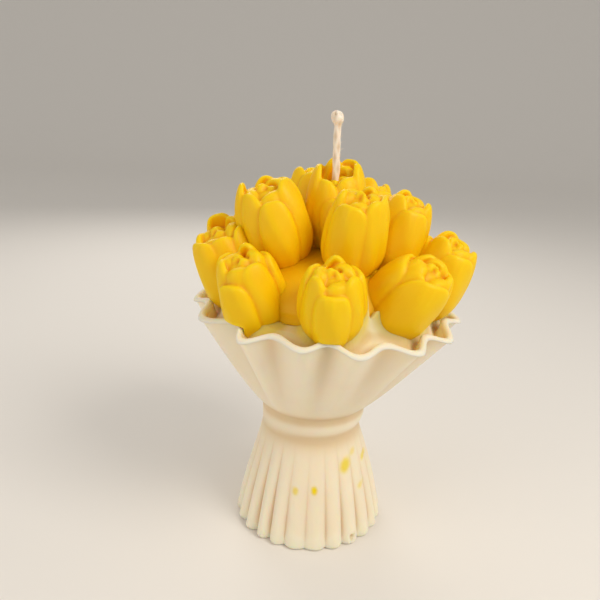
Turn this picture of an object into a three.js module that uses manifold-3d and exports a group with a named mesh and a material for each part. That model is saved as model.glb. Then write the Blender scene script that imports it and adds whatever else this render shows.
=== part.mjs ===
// A moulded bouquet candle: tulip heads of yellow wax stand in a fluted ivory paper cone
// with a pleated skirt below it, and a cotton wick rises through the middle.
// Millimetres, +Z up, +X to the right, -Y towards the front. The origin is the centre of
// the flat base. The bouquet's own axis stands BOUQUET_X to the right of the base's.
import * as THREE from "three";
import { mergeVertices } from "three/addons/utils/BufferGeometryUtils.js";
import Module from "manifold-3d";

// Skirt: the pleated lower part, from the hem on the table up to the neck.
const HEM_RADIUS = 21.0;
const HEM_ROUNDING = 1.0;
const SKIRT_HEIGHT = 28.7;
const SKIRT_PLEATS = 24;
const PLEAT_DEPTH = 1.5;
const SKIRT_BULGE = 0.6;
const FIRST_PLEAT_DEG = -98;
const STEPS_PER_PLEAT = 4;

// Neck band, where the paper is gathered.
const NECK_RADIUS = 12.9;
const BAND_HEIGHT = 7.0;
const BAND_BULGE = 1.3;

// Cup: the fluted cone that holds the flowers.
const BOUQUET_X = 2.2;
const CUP_RADIUS = 34.3;
const CUP_HEIGHT = 27.7;
const RIM_THICKNESS = 1.9;
const RIM_ROUNDING = 0.6;
const CUP_FLARE_POWER = 0.84;
const CUP_TILT_DEG = 2.2;
const FLUTE_DEPTH = 2.4;
const FLUTE_RIDGES_DEG = [-180, -154, -126, -99, -78, -52, -30, -2, 22, 48, 75, 101, 126, 152];

// Inside of the cup, measured from the rim: a shallow trough behind it, then a lip that rises
// between the heads, and the pocket that holds the flower core.
const TROUGH_WIDTH = 1.6;
const TROUGH_DEPTH = 2.2;
const LIP_INSET = 8.5;
const LIP_SLOPE = 2.0;
const LIP_RISE = 4.5;
const LIP_THICKNESS = 1.2;
const POCKET_DEPTH = 6.9;

// Flower core: the mound of yellow wax that the heads grow out of, measured from the rim.
const CORE_SHOULDER_RISE = 3.1;
const CORE_RISE = 15.1;
const CORE_SIDES = 36;

// Wick, and the bore it runs in, which stops short of the base.
const WICK_X = 2.8;
const WICK_RADIUS = 1.1;
const WICK_SHOWN = 13.2;
const WICK_LEAN = -0.5;
const WICK_TIP_BULGE = 0.55;
const WICK_STRAIGHT_BELOW_CROWN = 2.5;
const WICK_SIDES = 10;
const BORE_FLOOR = 3.0;

// Everything that touches keeps this gap.
const GAP = 0.3;

// Heights and radii that follow from the ones above.
const BAND_TOP = SKIRT_HEIGHT + BAND_HEIGHT;
const RIM_HEIGHT = BAND_TOP + CUP_HEIGHT;
const POCKET_FLOOR = RIM_HEIGHT - POCKET_DEPTH;
const LIP_RADIUS = CUP_RADIUS - LIP_INSET;
const CORE_RADIUS = LIP_RADIUS - LIP_THICKNESS - GAP;

// Tulip heads. Reach is from the bouquet's axis to the middle of the crown, rise is from the
// rim to the crown, lean is from the vertical, and turn is where the first outer petal faces.
// Heads are as wide as lets nine fill the lower ring, whatever the size of the cup.
const LOWER_REACH = CUP_RADIUS - 4.3;
const UPPER_REACH = 0.573 * LOWER_REACH;
const HEAD_WIDTH = 0.58 * LOWER_REACH;
const LOWER = { reach: LOWER_REACH, rise: 17.6, lean: 21, length: 23.5, width: HEAD_WIDTH };
const UPPER = { reach: UPPER_REACH, rise: 31.4, lean: 17, length: 24.0, width: HEAD_WIDTH };
const TOP = { reach: 1.9, rise: 36.3, lean: 0, length: 24.0, width: HEAD_WIDTH };
const HEADS = [
  { name: "tulip_lower_1", ...LOWER, azimuth: -165, reach: LOWER_REACH - 0.5, rise: 20.1, turn: 225 },
  { name: "tulip_lower_2", ...LOWER, azimuth: -134, rise: 16.7, turn: 240 },
  {
    name: "tulip_lower_3",
    ...LOWER,
    azimuth: -88,
    rise: 16.6,
    length: 21.0,
    width: HEAD_WIDTH - 0.8,
    turn: 270,
  },
  { name: "tulip_lower_4", ...LOWER, azimuth: -43, rise: 17.1, lean: 31, width: HEAD_WIDTH + 1.2, turn: 285 },
  { name: "tulip_lower_5", ...LOWER, azimuth: -8, reach: LOWER_REACH + 2, rise: 19.4, turn: 280 },
  { name: "tulip_lower_6", ...LOWER, azimuth: 29, turn: 60 },
  { name: "tulip_lower_7", ...LOWER, azimuth: 67, turn: 5 },
  { name: "tulip_lower_8", ...LOWER, azimuth: 107, turn: 100 },
  { name: "tulip_lower_9", ...LOWER, azimuth: 149, rise: 20.6, turn: 40 },
  {
    name: "tulip_upper_1",
    ...UPPER,
    azimuth: -156,
    reach: UPPER_REACH + 1,
    rise: 31.6,
    width: HEAD_WIDTH + 2.2,
    turn: 277,
  },
  { name: "tulip_upper_2", ...UPPER, azimuth: -67, width: HEAD_WIDTH - 1.6, turn: 240 },
  { name: "tulip_upper_3", ...UPPER, azimuth: -9, reach: UPPER_REACH + 2.8, rise: 29.7, turn: 285 },
  { name: "tulip_upper_4", ...UPPER, azimuth: 52, turn: 75 },
  { name: "tulip_upper_5", ...UPPER, azimuth: 110, rise: 33.9, turn: 275 },
  { name: "tulip_top", ...TOP, azimuth: -8, turn: 300 },
];
const HEAD_SIDES = 18;
const BELLY_AT = 0.42;
const PETAL_BULGE = 0.05;
const TIP_NOTCH = 0.09;

// Outline of a head from its foot to the bud in its crown: how far along the axis, how wide as
// a share of the half width, and how much of the notch between petals is felt there.
const HEAD_OUTLINE = [
  { along: 0, wide: 0, notch: 0 },
  { along: 0.02, wide: 0.3, notch: 0 },
  { along: 0.09, wide: 0.63, notch: 0 },
  { along: 0.22, wide: 0.87, notch: 0 },
  { along: BELLY_AT, wide: 1, notch: 0 },
  { along: 0.64, wide: 0.97, notch: 0 },
  { along: 0.84, wide: 0.88, notch: 0.3 },
  { along: 1.03, wide: 0.74, notch: 1 },
  { along: 1.01, wide: 0.58, notch: 1 },
  { along: 0.86, wide: 0.34, notch: 0 },
  { along: 0.94, wide: 0, notch: 0 },
];

const ivoryWax = new THREE.MeshStandardMaterial({ color: 0xefe0c2, roughness: 0.45, metalness: 0 });
const yellowWax = new THREE.MeshStandardMaterial({ color: 0xf6c31a, roughness: 0.42, metalness: 0 });
const cottonCord = new THREE.MeshStandardMaterial({ color: 0xefe4d2, roughness: 0.9, metalness: 0 });

const wasm = await Module();
wasm.setup();

const radians = THREE.MathUtils.degToRad;
const lerp = THREE.MathUtils.lerp;

// A closed surface of rings between two poles. pointAt(ring, angle) gives the point; the first
// and the last ring are single points. Rings run so that the faces point outwards when they go
// from the bottom outwards and up.
function ringSurface(ringCount, sideCount, firstAngle, pointAt) {
  const positions = [];
  const indices = [];
  const angleOf = (side) => firstAngle + (2 * Math.PI * side) / sideCount;
  positions.push(...pointAt(0, 0));
  for (let ring = 1; ring < ringCount - 1; ring++)
    for (let side = 0; side < sideCount; side++) positions.push(...pointAt(ring, angleOf(side)));
  positions.push(...pointAt(ringCount - 1, 0));
  const vertex = (ring, side) => 1 + (ring - 1) * sideCount + (side % sideCount);
  const last = 1 + (ringCount - 2) * sideCount;
  for (let side = 0; side < sideCount; side++) {
    indices.push(0, vertex(1, side + 1), vertex(1, side));
    for (let ring = 1; ring < ringCount - 2; ring++) {
      const [a, b] = [vertex(ring, side), vertex(ring, side + 1)];
      const [c, d] = [vertex(ring + 1, side), vertex(ring + 1, side + 1)];
      indices.push(a, b, d, a, d, c);
    }
    indices.push(vertex(ringCount - 2, side), vertex(ringCount - 2, side + 1), last);
  }
  const geometry = new THREE.BufferGeometry();
  geometry.setAttribute("position", new THREE.Float32BufferAttribute(positions, 3));
  geometry.setIndex(indices);
  return geometry;
}

function solidOf(geometry) {
  const bare = geometry.clone();
  bare.deleteAttribute("normal");
  bare.deleteAttribute("uv");
  const merged = mergeVertices(bare, 1e-4);
  return new wasm.Manifold(
    new wasm.Mesh({
      numProp: 3,
      vertProperties: merged.getAttribute("position").array,
      triVerts: new Uint32Array(merged.index.array),
    }),
  );
}

function geometryOf(solid) {
  const mesh = solid.getMesh();
  const geometry = new THREE.BufferGeometry();
  geometry.setAttribute("position", new THREE.BufferAttribute(mesh.vertProperties, mesh.numProp));
  geometry.setIndex(new THREE.BufferAttribute(mesh.triVerts, 1));
  geometry.computeVertexNormals();
  return geometry;
}

// +1 on the ridges of the cup's flutes and -1 in the folds between them.
function fluteWave(angle) {
  const count = FLUTE_RIDGES_DEG.length;
  const first = FLUTE_RIDGES_DEG[0];
  const turned = ((((angle * 180) / Math.PI - first) % 360) + 360) % 360;
  for (let i = 0; i < count; i++) {
    const from = FLUTE_RIDGES_DEG[i] - first;
    const to = i + 1 < count ? FLUTE_RIDGES_DEG[i + 1] - first : 360;
    if (turned <= to) return Math.cos((2 * Math.PI * (turned - from)) / (to - from));
  }
  return 1;
}

// 1 on the round ridge of each skirt pleat, falling to 0 in the sharp groove between two.
function pleatWave(angle) {
  return Math.abs(Math.cos((SKIRT_PLEATS / 2) * (angle - radians(FIRST_PLEAT_DEG))));
}

// A point at a radius and angle about the cup's axis. At share 1 it has the cup's full offset
// and sideways tilt, and at share 0 it is about the base's own axis.
function leanedPoint(radius, angle, height, share) {
  const sideways = radius * Math.cos(angle);
  const drop = share * Math.tan(radians(CUP_TILT_DEG)) * sideways;
  return [share * BOUQUET_X + sideways, radius * Math.sin(angle), height - drop];
}

// The wrap's outline from the middle of the base, out and up the outside, over the rim, and
// down into the pocket. shift moves a ring towards the bouquet's axis and tilts it with the cup.
function wrapOutline() {
  const bandRadius = NECK_RADIUS + BAND_BULGE;
  const troughRadius = CUP_RADIUS - RIM_THICKNESS - TROUGH_WIDTH;
  const troughHeight = RIM_HEIGHT - TROUGH_DEPTH;
  const lipHeight = RIM_HEIGHT + LIP_RISE;
  const outline = [
    { radius: 0, height: 0 },
    { radius: HEM_RADIUS - HEM_ROUNDING, height: 0, pleat: 0.8 },
    { radius: HEM_RADIUS, height: HEM_ROUNDING, pleat: 1 },
  ];
  for (const share of [0.25, 0.5, 0.75])
    outline.push({
      radius: lerp(HEM_RADIUS, NECK_RADIUS, share) + SKIRT_BULGE * Math.sin(Math.PI * share),
      height: lerp(HEM_ROUNDING, SKIRT_HEIGHT, share),
      pleat: 1 - share,
    });
  outline.push(
    { radius: NECK_RADIUS, height: SKIRT_HEIGHT, pleat: 0.1 },
    { radius: bandRadius, height: SKIRT_HEIGHT + 0.3 * BAND_HEIGHT },
    { radius: bandRadius, height: BAND_TOP },
  );
  for (const share of [0.12, 0.32, 0.55, 0.78, 0.96])
    outline.push({
      radius: lerp(bandRadius, CUP_RADIUS, share ** CUP_FLARE_POWER),
      height: lerp(BAND_TOP, RIM_HEIGHT, share),
      flute: share,
      shift: share,
    });
  outline.push(
    { radius: CUP_RADIUS - RIM_THICKNESS / 2, height: RIM_HEIGHT, flute: 1, shift: 1 },
    { radius: CUP_RADIUS - RIM_THICKNESS, height: RIM_HEIGHT - RIM_ROUNDING, flute: 1, shift: 1 },
    { radius: troughRadius, height: troughHeight, flute: 0.5, shift: 1 },
    { radius: LIP_RADIUS + LIP_SLOPE, height: lerp(troughHeight, lipHeight, 0.45), shift: 1 },
    { radius: LIP_RADIUS, height: lipHeight, shift: 1 },
    { radius: LIP_RADIUS - LIP_THICKNESS, height: lipHeight - 1, shift: 1 },
    { radius: LIP_RADIUS - LIP_THICKNESS, height: POCKET_FLOOR, shift: 1 },
    { radius: 0, height: POCKET_FLOOR, shift: 1 },
  );
  return outline;
}

function wrapBody() {
  const outline = wrapOutline();
  const sides = SKIRT_PLEATS * STEPS_PER_PLEAT;
  return ringSurface(outline.length, sides, radians(FIRST_PLEAT_DEG), (ring, angle) => {
    const { radius, height, pleat = 0, flute = 0, shift = 0 } = outline[ring];
    const pleated = radius - pleat * PLEAT_DEPTH * (1 - pleatWave(angle));
    const fluted = pleated + 0.5 * flute * FLUTE_DEPTH * fluteWave(angle);
    return leanedPoint(fluted, angle, height, shift);
  });
}

// The mound that fills the wrap's pocket and rises between the heads.
function coreBody() {
  const shoulder = RIM_HEIGHT + CORE_SHOULDER_RISE;
  const outline = [
    { radius: 0, height: POCKET_FLOOR + GAP },
    { radius: CORE_RADIUS, height: POCKET_FLOOR + GAP },
    { radius: CORE_RADIUS, height: shoulder },
  ];
  for (const share of [0.3, 0.55, 0.8, 1])
    outline.push({
      radius: CORE_RADIUS * Math.cos((share * Math.PI) / 2),
      height: lerp(shoulder, RIM_HEIGHT + CORE_RISE, Math.sin((share * Math.PI) / 2)),
    });
  return ringSurface(outline.length, CORE_SIDES, 0, (ring, angle) => {
    const { radius, height } = outline[ring];
    return leanedPoint(radius, angle, height, 1);
  });
}

// A head's foot, axis and widest point, from its place in the bouquet.
function placeHead(head) {
  const around = radians(head.azimuth);
  const lean = radians(head.lean);
  const outward = new THREE.Vector3(Math.cos(around), Math.sin(around), 0);
  const axis = outward.clone().multiplyScalar(Math.sin(lean)).setZ(Math.cos(lean));
  const crown = outward.clone().multiplyScalar(head.reach).setZ(RIM_HEIGHT + head.rise);
  crown.x += BOUQUET_X;
  const foot = crown.clone().addScaledVector(axis, -head.length);
  const belly = foot.clone().addScaledVector(axis, BELLY_AT * head.length);
  const side = new THREE.Vector3(-Math.sin(around), Math.cos(around), 0);
  const front = new THREE.Vector3().crossVectors(side, axis);
  return { ...head, around, axis, foot, belly, side, front, halfWidth: head.width / 2 };
}

// The planes that two neighbouring heads share, as a point on the plane and the direction out
// of this head. Two heads that would overlap are both pressed flat against it.
function sharedPlanes(head, all) {
  return all
    .filter((other) => other.name !== head.name)
    .map((other) => {
      const between = other.belly.clone().sub(head.belly);
      const along = head.axis.clone().add(other.axis).normalize();
      const normal = between.clone().addScaledVector(along, -between.dot(along)).normalize();
      const share = head.halfWidth / (head.halfWidth + other.halfWidth);
      return { point: head.belly.clone().addScaledVector(between, share), normal };
    });
}

// A head's closed surface. grown makes it that much bigger all round, for cutting its seat.
function headBody(head, all, grown = 0) {
  const planes = sharedPlanes(head, all);
  const petalFrom = radians(head.turn) - head.around;
  return ringSurface(HEAD_OUTLINE.length, HEAD_SIDES, 0, (ring, angle) => {
    const { along, wide, notch } = HEAD_OUTLINE[ring];
    const lobes = Math.cos(3 * (angle - petalFrom));
    const height = (along - TIP_NOTCH * notch * (0.5 - 0.5 * lobes)) * head.length;
    const stretched = height + grown * (ring === 0 ? -1 : 2 * along - 1);
    const middle = head.foot.clone().addScaledVector(head.axis, stretched);
    const outward = head.front
      .clone()
      .multiplyScalar(Math.cos(angle))
      .addScaledVector(head.side, Math.sin(angle));
    let reach = wide * (head.halfWidth * (1 + PETAL_BULGE * lobes) + grown);
    for (const { point, normal } of planes) {
      const towards = outward.dot(normal);
      const room = point.clone().sub(middle).dot(normal) - GAP / 2 + grown;
      if (towards > 1e-6) reach = Math.min(reach, Math.max(room, 0) / towards);
    }
    return middle.addScaledVector(outward, reach).toArray();
  });
}

// A round cord from bottom to top, straight up to just below the top head's crown, then leaning
// a little. The last few rings swell into the knobbed tip.
function wickBody(radius, bottom, tipBulge) {
  const straightTo = RIM_HEIGHT + TOP.rise - WICK_STRAIGHT_BELOW_CROWN;
  const top = RIM_HEIGHT + TOP.rise + WICK_SHOWN;
  const heights = [bottom, bottom, straightTo, top - 9, top - 5, top - 2.6, top - 0.8, top, top];
  const widths = [0, 1, 1, 1, 1, 1 + tipBulge, 1 + tipBulge, 0.6, 0];
  return ringSurface(heights.length, WICK_SIDES, 0, (ring, angle) => {
    const height = heights[ring];
    const bent = Math.max(0, (height - straightTo) / (top - straightTo));
    const x = WICK_X + WICK_LEAN * bent ** 1.5 + widths[ring] * radius * Math.cos(angle);
    return [x, widths[ring] * radius * Math.sin(angle), height];
  });
}

const heads = HEADS.map(placeHead);
const bore = solidOf(wickBody(WICK_RADIUS + GAP, BORE_FLOOR, 0));
const seats = heads.map((head) => solidOf(headBody(head, heads, GAP)));

let wrap = solidOf(wrapBody()).subtract(bore);
let core = solidOf(coreBody()).subtract(bore);
for (const seat of seats) {
  wrap = wrap.subtract(seat);
  core = core.subtract(seat);
}

const candle = new THREE.Group();
function add(name, geometry, material) {
  const mesh = new THREE.Mesh(geometry, material);
  mesh.name = name;
  candle.add(mesh);
}

add("paper_wrap", geometryOf(wrap), ivoryWax);
add("flower_core", geometryOf(core), yellowWax);
for (const head of heads) {
  const body = solidOf(headBody(head, heads));
  add(head.name, geometryOf(head.name === "tulip_top" ? body.subtract(bore) : body), yellowWax);
}
add("wick", wickBody(WICK_RADIUS, BORE_FLOOR + GAP, WICK_TIP_BULGE), cottonCord);

export default candle;
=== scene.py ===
"""Dresses the moulded tulip bouquet candle.

Yellow wax tulips stand in a fluted ivory paper cup over a pleated skirt, and a cotton wick
rises through the middle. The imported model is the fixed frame: each tulip reads its foot, axis,
length and petal turn from its CAD node. Lengths are in metres unless a name ends in _mm.
"""

import logging
import math
from dataclasses import dataclass, field, replace
from enum import Enum

import bpy
import numpy as np
from mathutils import Matrix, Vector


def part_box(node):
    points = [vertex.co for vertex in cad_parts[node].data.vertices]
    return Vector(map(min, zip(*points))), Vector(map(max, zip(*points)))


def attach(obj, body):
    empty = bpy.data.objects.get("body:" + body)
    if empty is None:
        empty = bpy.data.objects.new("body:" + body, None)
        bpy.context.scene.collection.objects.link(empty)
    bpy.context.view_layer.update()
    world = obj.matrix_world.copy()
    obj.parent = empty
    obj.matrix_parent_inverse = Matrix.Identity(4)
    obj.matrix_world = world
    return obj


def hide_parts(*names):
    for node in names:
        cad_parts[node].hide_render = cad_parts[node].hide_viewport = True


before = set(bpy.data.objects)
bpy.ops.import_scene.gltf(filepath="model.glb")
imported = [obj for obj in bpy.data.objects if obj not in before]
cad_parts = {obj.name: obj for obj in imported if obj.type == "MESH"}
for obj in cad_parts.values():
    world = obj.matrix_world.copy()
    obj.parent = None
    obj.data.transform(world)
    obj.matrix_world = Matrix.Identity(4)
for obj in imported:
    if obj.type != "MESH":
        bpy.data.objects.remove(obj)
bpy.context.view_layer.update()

Array = np.ndarray
MM = 0.001
BODY = "root"
VOXEL = 0.27 * MM
TOP_HEAD_SEED = 30
log = logging.getLogger("candle")


# ----------------------------------------------------------------------------------------
# Meshes from arrays
# ----------------------------------------------------------------------------------------


def mesh_object(name: str, points: Array, quads: Array, triangles: Array) -> bpy.types.Object:
    """Puts arrays into a new smooth-shaded mesh object.

    Args:
        name: The object's name.
        points: Corner positions, one row each.
        quads: Four corner numbers a row.
        triangles: Three corner numbers a row.

    Returns:
        The object, linked to the scene.
    """
    mesh = bpy.data.meshes.new(name)
    mesh.vertices.add(len(points))
    mesh.vertices.foreach_set("co", np.ascontiguousarray(points, np.float32).ravel())
    corners = np.concatenate([quads.ravel(), triangles.ravel()]).astype(np.int32)
    sizes = np.concatenate([np.full(len(quads), 4), np.full(len(triangles), 3)])
    mesh.loops.add(len(corners))
    mesh.loops.foreach_set("vertex_index", corners)
    mesh.polygons.add(len(sizes))
    starts = np.concatenate([[0], np.cumsum(sizes)[:-1]]).astype(np.int32)
    mesh.polygons.foreach_set("loop_start", starts)
    mesh.update(calc_edges=True)
    mesh.shade_smooth()
    made = bpy.data.objects.new(name, mesh)
    bpy.context.scene.collection.objects.link(made)
    return made


@dataclass
class Patchwork:
    """Closed surfaces gathered into one mesh."""

    points: list[Array] = field(default_factory=list)
    quads: list[Array] = field(default_factory=list)
    triangles: list[Array] = field(default_factory=list)
    count: int = 0

    def add_rings(self, first: Array, rings: Array, last: Array) -> None:
        """Adds a closed surface of rings between two end points.

        Ring i joins ring i + 1 with four-sided faces all the way round, and each end point
        closes its ring with a fan.

        Args:
            first: The point that closes the first ring.
            rings: Points by ring, side and coordinate.
            last: The point that closes the last ring.
        """
        ring_count, sides = rings.shape[:2]
        base = self.count
        grid = base + 1 + np.arange(ring_count * sides).reshape(ring_count, sides)
        turned = np.roll(grid, -1, axis=1)
        faces = np.stack([grid[:-1], turned[:-1], turned[1:], grid[1:]], -1)
        end = base + 1 + ring_count * sides
        start_fan = np.stack([np.full(sides, base), turned[0], grid[0]], -1)
        end_fan = np.stack([np.full(sides, end), grid[-1], turned[-1]], -1)
        self.points.append(np.concatenate([first[None], rings.reshape(-1, 3), last[None]]))
        self.quads.append(faces.reshape(-1, 4))
        self.triangles.append(np.concatenate([start_fan, end_fan]))
        self.count = end + 1

    def build(self, name: str) -> bpy.types.Object:
        """Makes the gathered surfaces one mesh object of that name."""
        return mesh_object(
            name,
            np.concatenate(self.points),
            np.concatenate(self.quads),
            np.concatenate(self.triangles),
        )


def fused(rough: bpy.types.Object, voxel: float, smoothing: int) -> bpy.types.Object:
    """Fuses overlapping closed surfaces into one skin and softens its creases.

    Args:
        rough: The object that holds the overlapping surfaces. It is used up.
        voxel: The grid size of the fused skin.
        smoothing: How many times the skin is evened out.

    Returns:
        The fused object, under the same name.
    """
    name = rough.name
    remesh = rough.modifiers.new("fuse", "REMESH")
    remesh.mode = "VOXEL"
    remesh.voxel_size = voxel
    remesh.use_smooth_shade = True
    smooth = rough.modifiers.new("soften", "SMOOTH")
    smooth.factor = 0.5
    smooth.iterations = smoothing
    graph = bpy.context.evaluated_depsgraph_get()
    mesh = bpy.data.meshes.new_from_object(rough.evaluated_get(graph))
    bpy.data.objects.remove(rough)
    mesh.name = name
    made = bpy.data.objects.new(name, mesh)
    bpy.context.scene.collection.objects.link(made)
    return made


def full_turn(count: int) -> Array:
    """That many angles, evenly spaced round a full turn from 0."""
    return 2 * np.pi * np.arange(count) / count


def degrees_from(around: Array, facing_deg: float) -> Array:
    """How far each angle is from a facing, in degrees from -180 to 180."""
    return np.degrees(np.angle(np.exp(1j * (around - math.radians(facing_deg)))))


def mesh_points(mesh: bpy.types.Mesh) -> Array:
    """The mesh's corner positions as rows."""
    flat = np.zeros(len(mesh.vertices) * 3, np.float32)
    mesh.vertices.foreach_get("co", flat)
    return flat.reshape(-1, 3).astype(float)


def set_attribute(mesh: bpy.types.Mesh, name: str, values: Array) -> None:
    """Stores one number for each corner of the mesh."""
    layer = mesh.attributes.new(name, "FLOAT", "POINT")
    layer.data.foreach_set("value", values.astype(np.float32))


def crease_depth(mesh: bpy.types.Mesh, passes: int, full_depth: float) -> Array:
    """How deep each corner lies in a crease, from -1 on an edge to 1 in a fold.

    The surface is evened out in a copy: each pass moves a corner to the mean of its
    neighbours. The depth is how far that lifts it along its own normal.

    Args:
        mesh: The finished mesh.
        passes: How many times the copy is evened out.
        full_depth: The lift that counts as 1.

    Returns:
        One value for each corner.
    """
    points = mesh_points(mesh)
    edges = np.zeros(len(mesh.edges) * 2, np.int32)
    mesh.edges.foreach_get("vertices", edges)
    a, b = edges.reshape(-1, 2).T
    neighbours = np.bincount(np.concatenate([a, b]), minlength=len(points))[:, None]
    normals = np.zeros(len(points) * 3, np.float32)
    mesh.vertices.foreach_get("normal", normals)
    even = points.copy()
    for _ in range(passes):
        total = np.zeros_like(even)
        for axis in range(3):
            total[:, axis] = np.bincount(a, even[b, axis], len(points))
            total[:, axis] += np.bincount(b, even[a, axis], len(points))
        even = total / np.maximum(neighbours, 1)
    lift = ((even - points) * normals.reshape(-1, 3)).sum(1)
    return np.clip(lift / full_depth, -1, 1)


# ----------------------------------------------------------------------------------------
# Finishes
# ----------------------------------------------------------------------------------------


class Slot(Enum):
    """The record's material slots."""

    IVORY = "ivory_wax"
    YELLOW = "yellow_wax"
    WICK = "cotton_wick"


@dataclass(frozen=True)
class Colour:
    """A colour as linear red, green and blue."""

    red: float
    green: float
    blue: float

    def rgba(self) -> tuple[float, float, float, float]:
        """The colour with full alpha."""
        return (self.red, self.green, self.blue, 1.0)


def hex_colour(code: str) -> Colour:
    """A linear colour from its six-digit display code."""
    shares = [int(code[i : i + 2], 16) / 255 for i in (0, 2, 4)]
    linear = [s / 12.92 if s <= 0.04045 else ((s + 0.055) / 1.055) ** 2.4 for s in shares]
    return Colour(*linear)


class NodeDesk:
    """Adds nodes to a tree and links them, so that a recipe reads from top to bottom."""

    def __init__(self, tree: bpy.types.NodeTree) -> None:
        """Keeps the tree that the nodes go into."""
        self.tree = tree

    def add(self, kind: str, **settings: object) -> bpy.types.Node:
        """Adds a node and sets its own properties."""
        node = self.tree.nodes.new(kind)
        for name, value in settings.items():
            setattr(node, name, value)
        return node

    def feed(self, node: bpy.types.Node, **values: object) -> bpy.types.Node:
        """Sets or links inputs by name, with underscores for spaces.

        Args:
            node: The node that takes the inputs.
            values: A socket to link from, or a plain value to set.

        Returns:
            The same node.
        """
        for name, value in values.items():
            socket = node.inputs[name.replace("_", " ")]
            if isinstance(value, bpy.types.NodeSocket):
                self.tree.links.new(value, socket)
            else:
                socket.default_value = value
        return node

    def noise(self, where: bpy.types.NodeSocket, size: object, detail: float) -> bpy.types.NodeSocket:
        """A noise whose lumps are about 1 / size across."""
        node = self.add("ShaderNodeTexNoise")
        self.feed(node, Vector=where, Scale=size, Detail=detail, Roughness=0.55)
        return node.outputs["Fac"]

    def math(self, operation: str, *values: object) -> bpy.types.NodeSocket:
        """The result of one sum on sockets or numbers."""
        node = self.add("ShaderNodeMath", operation=operation)
        for socket, value in zip(node.inputs, values):
            if isinstance(value, bpy.types.NodeSocket):
                self.tree.links.new(value, socket)
            else:
                socket.default_value = value
        return node.outputs[0]

    def ramp(self, value: bpy.types.NodeSocket, low: float, high: float) -> bpy.types.NodeSocket:
        """0 below low, 1 above high and a smooth rise between."""
        node = self.add("ShaderNodeMapRange", interpolation_type="SMOOTHSTEP")
        self.feed(node, Value=value, From_Min=low, From_Max=high)
        return node.outputs["Result"]

    def mix(self, share: object, first: object, second: object) -> bpy.types.NodeSocket:
        """A colour between two, by share."""
        node = self.add("ShaderNodeMix", data_type="RGBA")
        for index, value in ((0, share), (6, first), (7, second)):
            if isinstance(value, bpy.types.NodeSocket):
                self.tree.links.new(value, node.inputs[index])
            else:
                node.inputs[index].default_value = value
        return node.outputs[2]


def new_group(name: str, inputs: dict[str, str], outputs: dict[str, str]) -> bpy.types.NodeTree:
    """An empty shader node group with named sockets.

    Args:
        name: The group's name.
        inputs: Socket type by input name.
        outputs: Socket type by output name.

    Returns:
        The group's tree, with its own input and output nodes.
    """
    tree = bpy.data.node_groups.new(name, "ShaderNodeTree")
    for in_out, sockets in (("INPUT", inputs), ("OUTPUT", outputs)):
        for socket, kind in sockets.items():
            tree.interface.new_socket(name=socket, in_out=in_out, socket_type=kind)
    tree.nodes.new("NodeGroupInput")
    tree.nodes.new("NodeGroupOutput")
    return tree


FLOAT, COLOR = "NodeSocketFloat", "NodeSocketColor"


@dataclass(frozen=True)
class CastWax:
    """The look that every cast wax shares: cloudy colour, soft ripples, fine grain and pores.

    The scales are lumps per metre. The shares say how much the clouds go towards the deep colour,
    how much painted shade darkens the folds towards it and how much painted highlight lifts the
    edges towards the light one, and the heights are the relief's parts.
    """

    cloud_detail: float = 3.0
    fine_detail: float = 2.0
    grain_scale: float = 1500.0
    ripple_scale: float = 260.0
    pore_scale: float = 230.0
    pore_edges: tuple[float, float] = (0.05, 0.13)
    cloud_share: float = 0.45
    fold_shade_share: float = 0.75
    edge_highlight_share: float = 0.35
    ripple_roughness: float = 0.16
    ripple_height: float = 0.7
    grain_height: float = 0.16
    pore_height: float = 0.12

    def build(self) -> bpy.types.NodeTree:
        """Makes the group: a colour between Light and Deep, a roughness and a height.

        Returns:
            The group's tree.
        """
        tree = new_group(
            "cast_wax",
            {"Light": COLOR, "Deep": COLOR, "Cloud Size": FLOAT, "Crease": FLOAT, "Polish": FLOAT},
            {"Color": COLOR, "Roughness": FLOAT, "Height": FLOAT},
        )
        desk = NodeDesk(tree)
        given = tree.nodes["Group Input"].outputs
        where = desk.add("ShaderNodeTexCoord").outputs["Object"]
        cloud = desk.noise(where, given["Cloud Size"], self.cloud_detail)
        grain = desk.noise(where, self.grain_scale, self.fine_detail)
        ripple = desk.noise(where, self.ripple_scale, self.fine_detail)
        pores = desk.add("ShaderNodeTexVoronoi", feature="F1")
        desk.feed(pores, Vector=where, Scale=self.pore_scale, Randomness=1.0)
        pore = desk.ramp(pores.outputs["Distance"], *self.pore_edges)
        # Painted shade: folds go towards the deep colour by the crease input. Painted highlight: edges
        # go towards the light one.
        fold_shade = desk.math("MAXIMUM", given["Crease"], 0.0)
        edge_highlight = desk.math("MAXIMUM", desk.math("MULTIPLY", given["Crease"], -1.0), 0.0)
        clouded = desk.math("MULTIPLY", cloud, self.cloud_share)
        depth = desk.math("ADD", clouded, desk.math("MULTIPLY", fold_shade, self.fold_shade_share))
        share = desk.math("SUBTRACT", depth, desk.math("MULTIPLY", edge_highlight, self.edge_highlight_share))
        clamped = desk.math("MINIMUM", desk.math("MAXIMUM", share, 0.0), 1.0)
        colour = desk.mix(clamped, given["Light"], given["Deep"])
        uneven = desk.math("MULTIPLY", ripple, self.ripple_roughness)
        rough = desk.math("ADD", given["Polish"], uneven)
        rippled = desk.math("MULTIPLY", ripple, self.ripple_height)
        height = desk.math("ADD", rippled, desk.math("MULTIPLY", grain, self.grain_height))
        height = desk.math("ADD", height, desk.math("MULTIPLY", pore, self.pore_height))
        desk.feed(tree.nodes["Group Output"], Color=colour, Roughness=rough, Height=height)
        return tree


@dataclass(frozen=True)
class Speck:
    """A drop of yellow wax that landed on the skirt: where it is, and how wide and strong."""

    x_mm: float
    z_mm: float
    radius_mm: float
    strength: float


SKIRT_SPECKS = (
    Speck(1.5, 16.4, 1.0, 1.0),
    Speck(-3.6, 15.9, 1.0, 0.7),
    Speck(9.4, 21.7, 1.6, 0.85),
    Speck(11.2, 24.3, 0.9, 0.45),
    Speck(14.4, 21.3, 0.9, 0.7),
    Speck(14.0, 15.0, 0.9, 0.5),
)


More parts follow.
